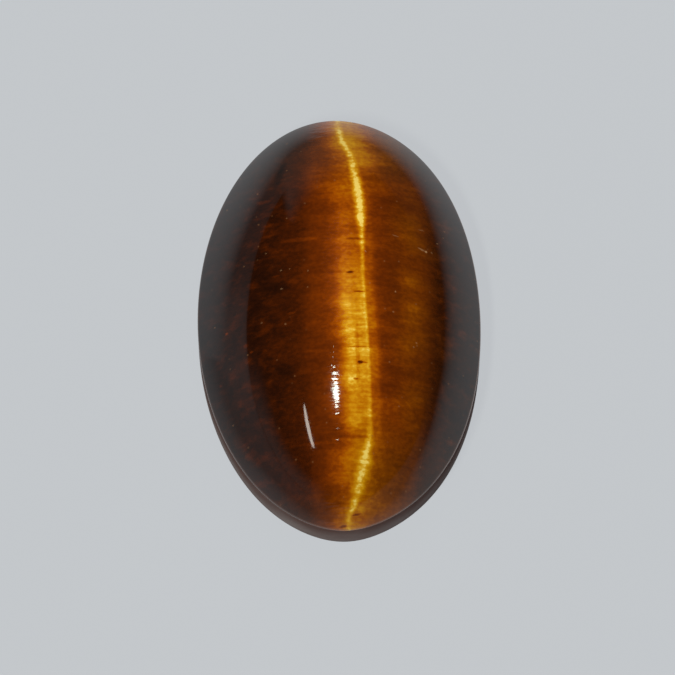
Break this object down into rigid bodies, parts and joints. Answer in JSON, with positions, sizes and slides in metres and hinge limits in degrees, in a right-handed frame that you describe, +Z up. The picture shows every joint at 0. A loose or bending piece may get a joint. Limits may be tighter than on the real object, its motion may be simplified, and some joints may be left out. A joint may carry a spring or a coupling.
{
  "type": "tigers eye cabochon",
  "caption": "Oval tiger's eye cabochon: a polished stone with a high dome, a golden cat's-eye band across dark brown fibres, a crisp girdle edge, a low side wall and a flat base to rest on.",
  "frame": {"origin": "middle of the flat base, on the surface that the stone rests on", "axes": "+Z up through the crown, +Y along the stone's length, +X across it, along the fibres"},
  "size_m": [0.01, 0.0152, 0.0058],
  "materials": {
    "tigers_eye": "polished tiger's eye quartz: glossy dome, golden chatoyant band, fine cross fibres, satin ground wall and base"
  },
  "bodies": {
    "root": {"cabochon": "tigers_eye"}
  },
  "joints": []
}
